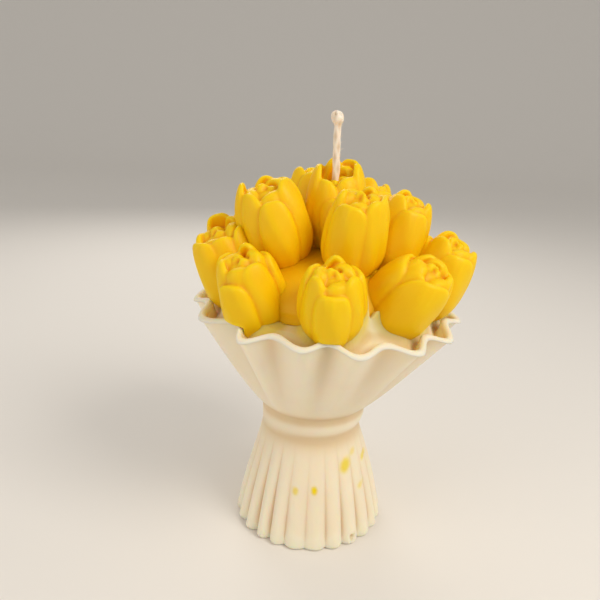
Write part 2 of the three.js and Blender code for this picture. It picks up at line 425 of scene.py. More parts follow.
WAX_IOR = 1.4
WAX_SPECULAR = 0.35
RELIEF_DEPTH = 0.4 * MM
DROP_EDGES = (0.6, 1.9)
DROP_NARROWING = 1.35
DROP_WOBBLE_SCALE = 900.0
DROP_WOBBLE = 0.5 * MM


@dataclass(frozen=True)
class WaxFinish:
    """A cast wax: its colours, how clear it is and how it is polished.

    The drops are thin splashes of yellow wax, taller than wide, on the front of the piece.
    """

    slot: Slot
    light: Colour
    deep: Colour
    cloud_size: float
    polish: float
    scatter: float
    scatter_radius: tuple[float, float, float]
    bump: float
    drops: tuple[Speck, ...] = ()

    def build(self, cast_wax: bpy.types.NodeTree) -> bpy.types.Material:
        """Makes the material.

        Args:
            cast_wax: The group that every wax shares.

        Returns:
            The material, which reads the piece's crease and bleed attributes.
        """
        material = bpy.data.materials.new(self.slot.value)
        material.use_nodes = True
        desk = NodeDesk(material.node_tree)
        shader = material.node_tree.nodes["Principled BSDF"]
        # The crease attribute drives painted shade in folds and a painted highlight on edges.
        crease = desk.add("ShaderNodeAttribute", attribute_name="crease").outputs["Fac"]
        look = desk.add("ShaderNodeGroup", node_tree=cast_wax)
        desk.feed(look, Light=self.light.rgba(), Deep=self.deep.rgba(), Crease=crease)
        desk.feed(look, Cloud_Size=self.cloud_size, Polish=self.polish)
        colour = look.outputs["Color"]
        if self.drops:
            colour = self.with_bleed(desk, colour)
        bump = desk.add("ShaderNodeBump")
        desk.feed(bump, Height=look.outputs["Height"], Strength=self.bump, Distance=RELIEF_DEPTH)
        desk.feed(shader, Base_Color=colour, Roughness=look.outputs["Roughness"])
        desk.feed(shader, Normal=bump.outputs["Normal"], Subsurface_Weight=self.scatter)
        desk.feed(shader, Subsurface_Radius=self.scatter_radius, Subsurface_Scale=1.0)
        desk.feed(shader, IOR=WAX_IOR, Specular_IOR_Level=WAX_SPECULAR)
        return material

    def with_bleed(self, desk: NodeDesk, colour: bpy.types.NodeSocket) -> bpy.types.NodeSocket:
        """Adds the yellow that ran into the ivory round the flowers, and the drops on the skirt.

        Args:
            desk: The material's node desk.
            colour: The wax colour so far.

        Returns:
            The colour with the yellow added.
        """
        bleed = desk.add("ShaderNodeAttribute", attribute_name="bleed").outputs["Fac"]
        where = desk.add("ShaderNodeTexCoord").outputs["Object"]
        wobble = desk.noise(where, DROP_WOBBLE_SCALE, 1.0)
        colour = desk.mix(bleed, colour, YELLOW_BLEED.rgba())
        split = desk.add("ShaderNodeSeparateXYZ")
        desk.feed(split, Vector=where)
        front = desk.math("LESS_THAN", split.outputs["Y"], 0.0)
        for drop in self.drops:
            across = desk.math("SUBTRACT", split.outputs["X"], drop.x_mm * MM)
            across = desk.math("MULTIPLY", across, DROP_NARROWING)
            up = desk.math("SUBTRACT", split.outputs["Z"], drop.z_mm * MM)
            squares = [desk.math("MULTIPLY", side, side) for side in (across, up)]
            away = desk.math("SQRT", desk.math("ADD", *squares))
            away = desk.math("ADD", away, desk.math("MULTIPLY", wobble, DROP_WOBBLE))
            edges = [drop.radius_mm * MM * share for share in DROP_EDGES]
            inside = desk.math("SUBTRACT", 1.0, desk.ramp(away, *edges))
            share = desk.math("MULTIPLY", desk.math("MULTIPLY", inside, front), drop.strength)
            colour = desk.mix(share, colour, YELLOW_DROP.rgba())
        return colour


YELLOW_BLEED = hex_colour("e8cf62")
YELLOW_DROP = hex_colour("ecd212")
IVORY_WAX = WaxFinish(
    slot=Slot.IVORY,
    light=hex_colour("f4e8cf"),
    deep=hex_colour("e3cba3"),
    cloud_size=55.0,
    polish=0.42,
    scatter=0.7,
    scatter_radius=(0.0042, 0.0027, 0.0015),
    bump=0.35,
    drops=SKIRT_SPECKS,
)
YELLOW_WAX = WaxFinish(
    slot=Slot.YELLOW,
    light=hex_colour("fad003"),
    deep=hex_colour("eaa400"),
    cloud_size=70.0,
    polish=0.40,
    scatter=0.5,
    scatter_radius=(0.0022, 0.0015, 0.0003),
    bump=0.3,
)


@dataclass(frozen=True)
class CottonFinish:
    """Waxed cotton cord: plaited threads under a thin film of wax."""

    slot: Slot = Slot.WICK
    light: Colour = hex_colour("fbf1e2")
    deep: Colour = hex_colour("dcc4a4")
    fuzz_scale: float = 5000.0
    fuzz_detail: float = 3.0
    fuzz_share: float = 0.3
    groove_shade_share: float = 0.75
    bump: float = 0.5
    relief_depth: float = 0.1 * MM
    roughness: float = 0.62
    scatter: float = 0.25
    scatter_radius: tuple[float, float, float] = (0.001, 0.0007, 0.0005)

    def build(self) -> bpy.types.Material:
        """Makes the material. Painted shade darkens it between the threads, by the cord's plait
        attribute.
        """
        material = bpy.data.materials.new(self.slot.value)
        material.use_nodes = True
        desk = NodeDesk(material.node_tree)
        shader = material.node_tree.nodes["Principled BSDF"]
        plait = desk.add("ShaderNodeAttribute", attribute_name="plait").outputs["Fac"]
        where = desk.add("ShaderNodeTexCoord").outputs["Object"]
        fuzz = desk.noise(where, self.fuzz_scale, self.fuzz_detail)
        # Painted shade in the grooves between the threads.
        groove_shade = desk.math("MULTIPLY", plait, self.groove_shade_share)
        share = desk.math("ADD", groove_shade, desk.math("MULTIPLY", fuzz, self.fuzz_share))
        colour = desk.mix(share, self.light.rgba(), self.deep.rgba())
        bump = desk.add("ShaderNodeBump")
        desk.feed(bump, Height=fuzz, Strength=self.bump, Distance=self.relief_depth)
        desk.feed(shader, Base_Color=colour, Roughness=self.roughness, Normal=bump.outputs["Normal"])
        desk.feed(shader, Subsurface_Weight=self.scatter, Subsurface_Radius=self.scatter_radius)
        desk.feed(shader, Subsurface_Scale=1.0)
        return material


# ----------------------------------------------------------------------------------------
# Tulip heads
# ----------------------------------------------------------------------------------------

CAD_HEAD_SIDES = 18
CAD_BUD_AT = 0.94
CAD_PETAL_BULGE = 0.05
CAD_TIP_AT = 1.03
CAD_WELD = 0.001 * MM
CROWN_FROM = 0.85
CROWN_OUT = 0.4
THIRD_TURN = 2 * math.pi / 3
TOWARDS_FRONT = -math.pi / 2
FOOT_POWER = 0.62
SHOULDER_POWER = 2.2


@dataclass(frozen=True)
class HeadPlace:
    """Where a tulip head stands: its foot, its axis, and the directions across it."""

    foot: Array
    axis: Array
    right: Array
    back: Array
    length: float
    half_width: float
    turn: float

    @classmethod
    def read(cls, node: str) -> "HeadPlace":
        """Reads a head's place from its CAD node.

        The foot and the bud are the two points where a whole fan of triangles meets. A head
        that the wick's bore has opened has neither, and stands upright in its box. The petal
        turn is the phase of the three-fold wave in the height of the crown's points, for the
        petal that faces the front most nearly.

        Args:
            node: The CAD node's name.

        Returns:
            The head's place.
        """
        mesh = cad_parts[node].data
        corners = np.zeros(len(mesh.loops), np.int32)
        mesh.loops.foreach_get("vertex_index", corners)
        grid = np.round(mesh_points(mesh)[corners] / CAD_WELD).astype(np.int64)
        keys, counts = np.unique(grid, axis=0, return_counts=True)
        points = keys * CAD_WELD
        poles = points[counts == CAD_HEAD_SIDES]
        if len(poles) == 2:
            foot, bud = poles[np.argsort(poles[:, 2])]
            length = np.linalg.norm(bud - foot) / CAD_BUD_AT
            axis = (bud - foot) / np.linalg.norm(bud - foot)
        else:
            low, high = (np.array(corner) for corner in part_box(node))
            axis = np.array([0.0, 0.0, 1.0])
            foot = np.array([(low[0] + high[0]) / 2, (low[1] + high[1]) / 2, low[2]])
            length = (high[2] - low[2]) / CAD_TIP_AT
        right = np.array([1.0, 0.0, 0.0]) - axis[0] * axis
        right /= np.linalg.norm(right)
        back = np.cross(axis, right)
        away = points - foot
        along = away @ axis
        x, y = away @ right, away @ back
        reach = np.hypot(x, y)
        half_width = reach.max() / (1 + CAD_PETAL_BULGE)
        crown = (along > CROWN_FROM * length) & (reach > CROWN_OUT * half_width)
        wave = (along[crown] - along[crown].mean()) * np.exp(3j * np.arctan2(y, x)[crown])
        turn = np.angle(wave.sum()) / 3
        turn += THIRD_TURN * round((TOWARDS_FRONT - turn) / THIRD_TURN)
        return cls(foot, axis, right, back, length, half_width, turn)

    def at(self, around: Array, along: Array, out: Array) -> Array:
        """The points at an angle round the axis, a share of the length and a distance out."""
        sideways = np.cos(around)[..., None] * self.right + np.sin(around)[..., None] * self.back
        middle = self.foot + (along * self.length)[..., None] * self.axis
        return middle + out[..., None] * sideways


def head_profile(along: Array, belly: float, crown_width: float) -> Array:
    """A tulip's half width as a share of its widest, from foot to tip.

    Below the belly it is a blunt rounded foot, one minus a power of the way left to go, drawn
    out by a root. Above it the width falls off with a power of the height to crown_width.

    Args:
        along: Share of the length, from 0 at the foot to a little over 1 at the tips.
        belly: Where the head is widest.
        crown_width: The width at the tips.

    Returns:
        The share for each value.
    """
    below = np.clip(1 - along / belly, 0, 1)
    above = np.clip((along - belly) / (1 - belly), 0, None)
    return (1 - below**2) ** FOOT_POWER - (1 - crown_width) * above**SHOULDER_POWER


@dataclass(frozen=True)
class PetalRow:
    """One row of petals round a head.

    Each petal has its own angle, in degrees from the head's turn, and its own tip, as a share
    of the head's length. Spread is half a petal's width in degrees, and out is the row's width
    as a share of the head's.
    """

    angles: tuple[float, ...]
    tips: tuple[float, ...]
    spread: float
    out: float
    base: float
    thickness_mm: float
    tuck: float
    squareness: float = 0.7
    flare: float = 0.0


PETAL_RINGS = np.array([0.12, 0.25, 0.38, 0.5, 0.62, 0.73, 0.83, 0.9, 0.95, 0.985, 1.0])
PETAL_SIDES = 48
TURN_LUCK, SPREAD_LUCK, TIP_LUCK, SQUARENESS_LUCK = 0.05, 0.05, 0.012, 0.08
FLARE_FROM = 0.7
RIPPLE_SIZE, RIPPLES_ACROSS, RIPPLES_ALONG, RIPPLE_SHIFT = 0.012, 7, 9, 6
FILLING_RINGS = np.array([0.03, 0.1, 0.2, 0.33, 0.48, 0.63, 0.76, 0.87, 0.94, 0.98])
FILLING_WIDTH = 0.8
FILLING_DOME_POWER = 8
FILLING_FOOT = 0.01
HEAD_SMOOTHING = 6
HEAD_CREASE_PASSES = 12
HEAD_CREASE = 0.25 * MM
OUTER = PetalRow((0, 120, 240), (0.9, 0.92, 0.92), 44, 1.02, 0.03, 2.0, 0.1, 0.62, flare=0.03)
INNER = PetalRow((60, 180, 300), (1.0, 1.03, 1.0), 50, 0.9, 0.06, 2.3, 0.14, 0.85)
NESTED = PetalRow((25, 140, 262), (0.95, 1.0, 0.98), 66, 0.79, 0.35, 3.4, 0.12)
BUD = PetalRow((70, 250), (0.98, 1.01), 88, 0.36, 0.45, 3.4, 0.1)


@dataclass
class TulipHead:
    """A tulip head: two rows of thick petals, a nested row inside them and a bud.

    Crown_width and belly shape its profile, and bend_mm is how far its tips lean right and back.
    """

    node: str
    crown_width: float = 0.72
    belly: float = 0.44
    outer: PetalRow = OUTER
    inner: PetalRow = INNER
    nested: PetalRow = NESTED
    bud: PetalRow = BUD
    filled_to: float = 0.95
    bend_mm: tuple[float, float] = (0.0, 0.0)
    seed: int = 0

    def petal(self, place: HeadPlace, row: PetalRow, number: int, luck: Array) -> list[Array]:
        """One thick petal.

        Its outline is a superellipse in angle and height. Its face follows the head's profile
        and bends in towards its side edges with the square of the way there. Its two faces
        stand off from that by half the thickness times the fourth root of one minus the fourth
        power of the way out to the edge, so the edge is round.

        Args:
            place: Where the head stands.
            row: The row that the petal is in.
            number: Its number in the row.
            luck: Five small numbers that make this petal differ from its neighbours.

        Returns:
            The middle point of the outer face, the rings, and the middle of the inner face.
        """
        middle = np.radians(row.angles[number]) + place.turn + TURN_LUCK * luck[0]
        spread = np.radians(row.spread) * (1 + SPREAD_LUCK * luck[1])
        tip = row.tips[number] + TIP_LUCK * luck[2]
        round_edge = full_turn(PETAL_SIDES)
        share = np.concatenate([[0], PETAL_RINGS, PETAL_RINGS[-2::-1], [0]])
        face = np.concatenate([np.ones(len(PETAL_RINGS)), [0], -np.ones(len(PETAL_RINGS))])
        stand_off = np.sign(face) * (1 - share**4) ** 0.25 * row.thickness_mm * MM / 2
        cos, sin = np.cos(round_edge), np.sin(round_edge)
        squareness = row.squareness + SQUARENESS_LUCK * luck[3]
        wide = np.sign(cos) * np.abs(cos) ** squareness
        tall = np.sign(sin) * np.abs(sin) ** squareness
        across = share[:, None] * wide[None]
        along = (row.base + tip) / 2 + (tip - row.base) / 2 * share[:, None] * tall[None]
        body = head_profile(along, self.belly, self.crown_width) * place.half_width
        flared = np.clip(along - FLARE_FROM, 0, 1) / (1 - FLARE_FROM)
        bent = 1 - row.tuck * across**2 + row.flare * flared
        waves = RIPPLES_ACROSS * across + RIPPLES_ALONG * along + RIPPLE_SHIFT * luck[4]
        ripple = RIPPLE_SIZE * np.sin(waves)
        out = body * (row.out * bent + ripple) + stand_off[:, None] - row.thickness_mm * MM / 2
        points = place.at(middle + spread * across, along, out) + self.bend(place, along)
        return [points[0, 0], points[1:-1], points[-1, 0]]

    def bend(self, place: HeadPlace, along: Array) -> Array:
        """How far the head has bent to the right and back: with the square of the height."""
        to_right, to_back = (distance * MM for distance in self.bend_mm)
        return (along**2)[..., None] * (to_right * place.right + to_back * place.back)

    def filling(self, place: HeadPlace) -> list[Array]:
        """The solid wax inside the petals: the head's profile, narrowed, up to a domed top."""
        shares = FILLING_RINGS * self.filled_to
        around = full_turn(PETAL_SIDES)
        narrowed = FILLING_WIDTH * head_profile(shares, self.belly, self.crown_width)
        narrowed *= np.sqrt(np.clip(1 - (shares / self.filled_to) ** FILLING_DOME_POWER, 0, 1))
        along = np.broadcast_to(shares[:, None], (len(shares), PETAL_SIDES))
        out = np.broadcast_to((narrowed * place.half_width)[:, None], along.shape)
        rings = place.at(np.broadcast_to(around, along.shape), along, out) + self.bend(place, along)
        tops = np.array([FILLING_FOOT, self.filled_to])
        ends = place.at(np.zeros(2), tops, np.zeros(2)) + self.bend(place, tops)
        return [ends[0], rings, ends[1]]

    def build(self, voxel: float) -> bpy.types.Object:
        """Builds the head as one skin, with its foot held inside the cup.

        Args:
            voxel: The grid size of the fused skin.

        Returns:
            The finished object.
        """
        place = HeadPlace.read(self.node)
        draw = np.random.default_rng(self.seed)
        rough = Patchwork()
        rough.add_rings(*self.filling(place))
        for row in (self.outer, self.inner, self.nested, self.bud):
            for number in range(len(row.angles)):
                rough.add_rings(*self.petal(place, row, number, draw.uniform(-1, 1, 5)))
        self.add_extras(place, rough)
        made = fused(rough.build("wax_" + self.node), voxel, HEAD_SMOOTHING)
        held = PaperWrap().hold_inside(mesh_points(made.data))
        made.data.vertices.foreach_set("co", held.astype(np.float32).ravel())
        made.data.update()
        # The crease attribute gives painted shade in the folds between petals and a painted highlight
        # on their edges.
        depth = crease_depth(made.data, HEAD_CREASE_PASSES, HEAD_CREASE)
        set_attribute(made.data, "crease", depth)
        return made

    def add_extras(self, place: HeadPlace, rough: Patchwork) -> None:
        """Adds what only some heads have."""


@dataclass
class TopHead(TulipHead):
    """The head that the wick comes out of, with the wax that climbs up the wick's foot."""

    outer: PetalRow = replace(OUTER, angles=(-20, 120, 240), tips=(0.7, 1.07, 1.0))
    inner: PetalRow = replace(INNER, angles=(60, 180, 290), tips=(1.03, 1.09, 0.86))
    nested: PetalRow = replace(NESTED, tips=(0.9, 1.0, 0.82))
    bud: PetalRow = replace(BUD, tips=(0.9, 0.86))
    filled_to: float = 0.82
    climb_height: float = 3.2 * MM
    climb_radius: float = 2.6 * MM
    climb_from: float = 92.5 * MM
    climb_film: float = 0.1 * MM
    climb_rings: int = 9
    climb_sides: int = 24

    def add_extras(self, place: HeadPlace, rough: Patchwork) -> None:
        """Adds the climbing wax: a cone whose radius falls with the square of the way up."""
        low, high = (np.array(corner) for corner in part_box("wick"))
        up = np.linspace(0, 1, self.climb_rings)
        around = full_turn(self.climb_sides)
        swell = (self.climb_radius - WickCord.radius) * (1 - up) ** 2
        radius = WickCord.radius + self.climb_film + swell
        centre = np.array([(low[0] + high[0]) / 2 + WickCord.lean / 2, (low[1] + high[1]) / 2])
        rings = np.empty((self.climb_rings, self.climb_sides, 3))
        rings[..., 0] = centre[0] + radius[:, None] * np.cos(around)
        rings[..., 1] = centre[1] + radius[:, None] * np.sin(around)
        rings[..., 2] = (self.climb_from + up * self.climb_height)[:, None]
        ends = [np.array([*centre, self.climb_from + end]) for end in (0, self.climb_height)]
        rough.add_rings(ends[0], rings, ends[1])


def tulip_heads() -> list[TulipHead]:
    """The heads that hold petals of their own, front ones first, then the rest."""
    known = [
        TulipHead(
            "tulip_lower_1",
            crown_width=0.8,
            outer=replace(OUTER, angles=(0, 120, 224), tips=(0.97, 0.98, 1.1)),
            inner=replace(INNER, tips=(0.95, 1.06, 0.98)),
        ),
        TulipHead(
            "tulip_lower_2",
            outer=replace(OUTER, angles=(4, 150, 258), tips=(0.85, 0.93, 0.98), spread=38, base=0.12),
            inner=replace(INNER, angles=(70, 190, 300), tips=(0.97, 1.06, 1.0), spread=56, out=0.86),
        ),
        TulipHead(
            "tulip_lower_3",
            outer=replace(OUTER, tips=(0.87, 0.95, 0.95), spread=38, squareness=0.5),
            inner=replace(INNER, tips=(1.0, 1.06, 0.98), spread=46),
        ),
        TulipHead(
            "tulip_lower_4",
            crown_width=0.66,
            bend_mm=(2.6, 0.0),
            outer=replace(OUTER, angles=(-6, 118, 236), tips=(0.95, 0.92, 0.92), spread=62),
            inner=replace(INNER, tips=(0.97, 1.01, 0.94), out=0.84),
        ),
        TulipHead("tulip_lower_5", crown_width=0.8, inner=replace(INNER, tips=(0.97, 1.04, 1.0))),
        TulipHead(
            "tulip_upper_1",
            belly=0.47,
            outer=replace(OUTER, angles=(0, 135, 262), tips=(0.89, 0.98, 1.08), spread=32),
            inner=replace(INNER, angles=(62, 180, 300), tips=(1.03, 1.04, 0.98), spread=53),
        ),
        TulipHead(
            "tulip_upper_2",
            outer=replace(OUTER, tips=(0.94, 1.0, 0.95), spread=50),
            inner=replace(INNER, angles=(72, 185, 290), spread=46, out=0.97),
        ),
    ]
    named = {head.node: head for head in known}
    nodes = head_names("tulip_lower") + head_names("tulip_upper")
    return [replace(named.get(node, TulipHead(node)), seed=i) for i, node in enumerate(nodes)]


# ----------------------------------------------------------------------------------------
# Paper wrap
# ----------------------------------------------------------------------------------------


@dataclass(frozen=True)
class Flute:
    """One ridge of the cup, and the fold that follows it going round towards +Y."""

    ridge_deg: float
    fold_deg: float
    ridge: float = 1.0
    fold: float = 1.0


FLUTES = (
    Flute(-176, -164, 1.3, 1.2),
    Flute(-152, -132, 1.2, 1.9),
    Flute(-123, -112, 1.6, 1.0),
    Flute(-99, -89, 1.0, 1.2),
    Flute(-78, -65, 1.3, 1.3),
    Flute(-52, -41, 1.1, 1.4),
    Flute(-30, -16, 1.2, 1.3),
    Flute(-2, 9, 1.2, 1.0),
    Flute(22, 34, 0.9, 1.2),
    Flute(48, 62, 1.1, 1.0),
    Flute(75, 88, 1.0, 1.1),
    Flute(101, 113, 0.9, 1.0),
    Flute(126, 140, 1.1, 1.2),
    Flute(152, 166, 1.0, 1.0),
)


@dataclass(frozen=True)
class Cusp:
    """A jagged peak in the lip round the flowers: where it is, how high and how wide."""

    facing_deg: float
    rise_mm: float
    width_deg: float


LIP_CUSPS = (
    Cusp(-82, 2.2, 8.0),
    Cusp(-70, 3.4, 4.0),
    Cusp(-51, 3.2, 4.5),
    Cusp(-27, 2.8, 5.0),
    Cusp(24, 1.2, 5.0),
    Cusp(88, 1.4, 5.0),
    Cusp(128, 1.2, 5.0),
    Cusp(172, 1.4, 4.0),
)


@dataclass
class PaperWrap:
    """The ivory casting: pleated skirt, neck band, fluted cup, rim and the floor round the flowers.

    Shares and powers have no unit. Band_rise is how much of the band its bulge takes to fill
    out, and the lip round the flowers is highest at lip_peak_deg and low_lip_share of that
    opposite. The yellow pool lies at pool_deg.
    """

    hem_radius: float = 21.0 * MM
    hem_rounding: float = 1.2 * MM
    skirt_height: float = 28.7 * MM
    skirt_bulge: float = 0.6 * MM
    pleats: int = 24
    pleat_depth: float = 1.7 * MM
    first_pleat_deg: float = -98.0
    chip_deg: float = -52.0
    chip_height: float = 2.0 * MM
    chip_size: float = 0.9 * MM
    chip_depth: float = 1.5 * MM
    neck_radius: float = 12.9 * MM
    band_height: float = 7.0 * MM
    band_bulge: float = 1.3 * MM
    band_rise: float = 0.6
    cup_offset: float = 2.2 * MM
    cup_tilt_deg: float = 2.2
    cup_radius: float = 34.3 * MM
    cup_height: float = 27.7 * MM
    cup_flare: float = 0.84
    flute_growth: float = 1.1
    unevenness: float = 0.16 * MM
    gather_power: float = 1.2
    pleat_sharpness: float = 0.8
    pleat_fade: float = 1.25
    rim_thickness: float = 2.2 * MM
    flute_depth: float = 1.25 * MM
    front_press: float = 0.6 * MM
    rim_droop: float = 0.6 * MM
    rim_wander: float = 0.3 * MM
    trough_depth: float = 2.2 * MM
    lip_radius: float = 25.8 * MM
    lip_rise: float = 4.5 * MM
    lip_peak_deg: float = -45.0
    low_lip_share: float = 0.1
    lip_narrowness: float = 3.0
    lip_crown: float = 0.9 * MM
    floor_ramp: float = 2.0 * MM
    head_lip: float = 2.0 * MM
    head_lip_width: float = 0.8 * MM
    lip_cusp: float = 2.2 * MM
    wall_gap: float = 0.2 * MM
    hold_fade: float = 1.2 * MM
    pool_deg: float = -111.0
    pool_width_deg: float = 15.0
    lip_thickness: float = 1.2 * MM
    pocket_depth: float = 6.9 * MM
    sides: int = 600
    crease_passes: int = 30
    crease_size: float = 0.3 * MM

    @property
    def rim_height(self) -> float:
        """The rim's height above the base."""
        return self.skirt_height + self.band_height + self.cup_height

    def flute_wave(self, around: Array) -> Array:
        """+1 on a ridge and -1 in a fold, with half cosine waves between them, each to its own size."""
        degrees = (np.degrees(around) + 180) % 360 - 180
        spots = [flute.ridge_deg for flute in FLUTES] + [flute.fold_deg for flute in FLUTES]
        sizes = [flute.ridge for flute in FLUTES] + [-flute.fold for flute in FLUTES]
        order = np.argsort(spots)
        spots, sizes = np.array(spots)[order], np.array(sizes)[order]
        spots = np.concatenate([spots, [spots[0] + 360]])
        sizes = np.concatenate([sizes, [sizes[0]]])
        step = np.clip(np.searchsorted(spots, degrees, side="right") - 1, 0, len(spots) - 2)
        share = (degrees - spots[step]) / (spots[step + 1] - spots[step])
        return sizes[step] + (sizes[step + 1] - sizes[step]) * (0.5 - 0.5 * np.cos(np.pi * share))

    def pleat_wave(self, around: Array) -> Array:
        """1 on each pleat's round ridge, falling to 0 in the groove: the size of a slow cosine.

        The pleats drift a little from even spacing with two slower waves.
        """
        drift = 0.018 * np.sin(3 * around + 1.0) + 0.012 * np.sin(7 * around + 2.0)
        angle = around + drift - math.radians(self.first_pleat_deg)
        return np.abs(np.cos(self.pleats / 2 * angle)) ** self.pleat_sharpness

    def chip(self, around: Array, height: Array) -> Array:
        """The depth of the small chip in the hem: a flat-bottomed bell in angle and height."""
        aside = (around - 2 * np.pi - math.radians(self.chip_deg)) * self.hem_radius / self.chip_size
        above = (height - self.chip_height) / self.chip_size
        return self.chip_depth * np.exp(-(aside**4) - above**4)

    def stations(self) -> Array:
        """The outline as rows of radius, height, pleat, flute and lean, from base to pocket.

        Returns:
            One row for each ring, from the middle of the base out over the rim to the middle of
            the pocket.
        """
        rows: list[tuple[float, float, float, float, float]] = []
        hem, round_ = self.hem_radius, self.hem_rounding
        for share in (0.1, 0.4, 0.7, 0.85):
            rows.append(((hem - round_) * share, 0.0, share**6, 0.0, 0.0))
        for turn in np.linspace(0, np.pi / 2, 6):
            radius = hem - round_ + round_ * math.sin(turn)
            rows.append((radius, round_ * (1 - math.cos(turn)), 0.9 + 0.1 * math.sin(turn), 0.0, 0.0))
        for share in np.linspace(0, 1, 42)[1:]:
            radius = hem + (self.neck_radius - hem) * share + self.skirt_bulge * math.sin(np.pi * share)
            height = round_ + (self.skirt_height - round_) * share
            rows.append((radius, height, (1 - 0.98 * share) ** self.pleat_fade, 0.0, 0.0))
        for share in np.linspace(0, 1, 13)[1:]:
            bulge = self.band_bulge * (0.5 - 0.5 * math.cos(min(share / self.band_rise, 1) * np.pi))
            height = self.skirt_height + self.band_height * share
            rows.append((self.neck_radius + bulge, height, 0.0, 0.0, 0.0))
        band = self.neck_radius + self.band_bulge
        foot = self.skirt_height + self.band_height
        for share in np.linspace(0, 0.97, 44)[1:]:
            radius = band + (self.cup_radius - band) * share**self.cup_flare
            flute = share**self.flute_growth
            rows.append((radius, foot + self.cup_height * share, 0.0, flute, share))
        half = self.rim_thickness / 2
        for turn in np.linspace(-0.1, np.pi * 1.05, 12):
            radius = self.cup_radius - half + half * math.cos(turn)
            rows.append((radius, self.rim_height - half + half * math.sin(turn), 0.0, 1.0, 1.0))
        inner = self.cup_radius - self.rim_thickness
        for share in np.linspace(0, 1, 30)[1:]:
            radius = inner + (self.lip_radius - inner) * share
            dip = self.trough_depth * math.sin(min(share / 0.5, 1) * np.pi)
            rise = self.lip_rise * max(share - 0.25, 0) ** 1.5 / 0.75**1.5
            height = self.rim_height - half - 0.5 * dip - 0.5 * self.trough_depth * min(share / 0.2, 1)
            height = height + rise + self.lip_crown * share
            rows.append((radius, height, 0.0, 0.9 * (1 - share), 1.0))
        wall = self.lip_radius - self.lip_thickness
        lip = rows[-1][1]
        floor = self.rim_height - self.pocket_depth
        rows.append((wall + 0.3 * MM, lip, 0.0, 0.0, 1.0))
        rows.append((wall, lip - 1.0 * MM, 0.0, 0.0, 1.0))
        rows.append((wall, floor, 0.0, 0.0, 1.0))
        rows.append((wall / 2, floor, 0.0, 0.0, 1.0))
        return np.array(rows)

    def build(self, heads: list[HeadPlace]) -> bpy.types.Object:
        """Builds the wrap.

        Each ring's radius is the outline's, less the pleats' depth in their grooves, plus the
        flutes' wave. The cup is shifted and tilted sideways with its lean. Inside the rim the
        floor rises in a jagged lip, and in a narrower one round each lower head.

        Args:
            heads: The places of the heads that stand in the floor.

        Returns:
            The finished object.
        """
        rows = self.stations()
        around = full_turn(self.sides)
        radius, height, pleat, flute, lean = (rows[:, i, None] for i in range(5))
        up_skirt = np.clip(height / self.skirt_height, 0, 1)
        above = (height - self.skirt_height) / (self.band_rise * self.band_height)
        gather = up_skirt**4 * (0.5 + 0.5 * np.cos(np.clip(above, 0, 1) * np.pi))
        unlike = 1 + 0.3 * np.sin(2 * around + 1.0) + 0.25 * np.sin(5 * around + 0.4)
        groove = unlike[None] * (1 - self.pleat_wave(around)[None])
        wave = self.flute_wave(around)[None]
        uneven = self.unevenness * np.sin(5 * around + 0.7)[None] * (0.3 + lean)
        uneven = uneven - self.front_press * lean * (0.5 - 0.5 * np.sin(around))[None] ** 2
        gathered = (0.5 - 0.5 * np.cos(around + 0.35))[None] ** self.gather_power
        uneven = uneven + self.band_bulge * gather * gathered
        out = radius - pleat * self.pleat_depth * groove + flute * self.flute_depth * wave + uneven
        out = out - self.chip(around[None], height) * (pleat > 0)
        wander = self.rim_wander * np.sin(4 * around + 2.0)[None]
        droop = flute**3 * (self.rim_droop * wave - wander)
        rings = np.empty((len(rows), self.sides, 3))
        sideways = out * np.cos(around)
        rings[..., 0] = lean * self.cup_offset + sideways
        rings[..., 1] = out * np.sin(around)
        tilt = lean * math.tan(math.radians(self.cup_tilt_deg))
        rings[..., 2] = height - droop - tilt * sideways
        inside = self.inside_share(rows)
        facing = np.cos(around - math.radians(self.lip_peak_deg))[None]
        low_lip = np.clip((rows[:, 1, None] - self.rim_height) / self.lip_rise, 0, 1)
        drop = (1 - self.low_lip_share) * (1 - np.exp(self.lip_narrowness * (facing - 1)))
        rings[..., 2] -= inside[:, None] * low_lip * self.lip_rise * drop
        rings[..., 2] += inside[:, None] * low_lip**1.5 * self.cusps(around)[None]
        dry = 1 - self.pool(around)[None]
        fuller = 1 + self.cusps(around)[None] / self.lip_cusp
        rings[..., 2] += inside[:, None] * dry * fuller * self.head_lips(rings, heads)
        first = np.array([0.0, 0.0, 0.0])
        last = np.array([self.cup_offset, 0.0, self.rim_height - self.pocket_depth])
        wrap = Patchwork()
        wrap.add_rings(first, rings, last)
        made = wrap.build("ivory_paper_wrap")
        # The crease attribute gives painted shade in the pleat grooves and flute folds and a painted
        # highlight on the ridges.
        depth = crease_depth(made.data, self.crease_passes, self.crease_size)
        set_attribute(made.data, "crease", depth)
        set_attribute(made.data, "bleed", self.bleed(rings, inside, heads))
        return made

    def inside_share(self, rows: Array) -> Array:
        """1 for rings on the floor inside the rim and 0 for all others, with a short rise between."""
        inner = self.cup_radius - self.rim_thickness
        top = int(np.argmax(np.where(rows[:, 0] > inner, rows[:, 1], 0)))
        past_rim = (np.arange(len(rows)) > top) & (rows[:, 0] < inner)
        return np.where(past_rim, np.clip((inner - rows[:, 0]) / self.floor_ramp, 0, 1), 0.0)

    def cusps(self, around: Array) -> Array:
        """The height of the lip's jagged peaks: each falls off evenly by a share of the way out."""
        height = np.zeros_like(around)
        for cusp in LIP_CUSPS:
            aside = np.abs(degrees_from(around, cusp.facing_deg))
            height = height + cusp.rise_mm * MM * np.exp(-aside / cusp.width_deg)
        return height

    def pool(self, around: Array) -> Array:
        """1 where yellow wax has pooled between two front flowers, falling to 0 in a bell."""
        return np.exp(-((degrees_from(around, self.pool_deg) / self.pool_width_deg) ** 2))

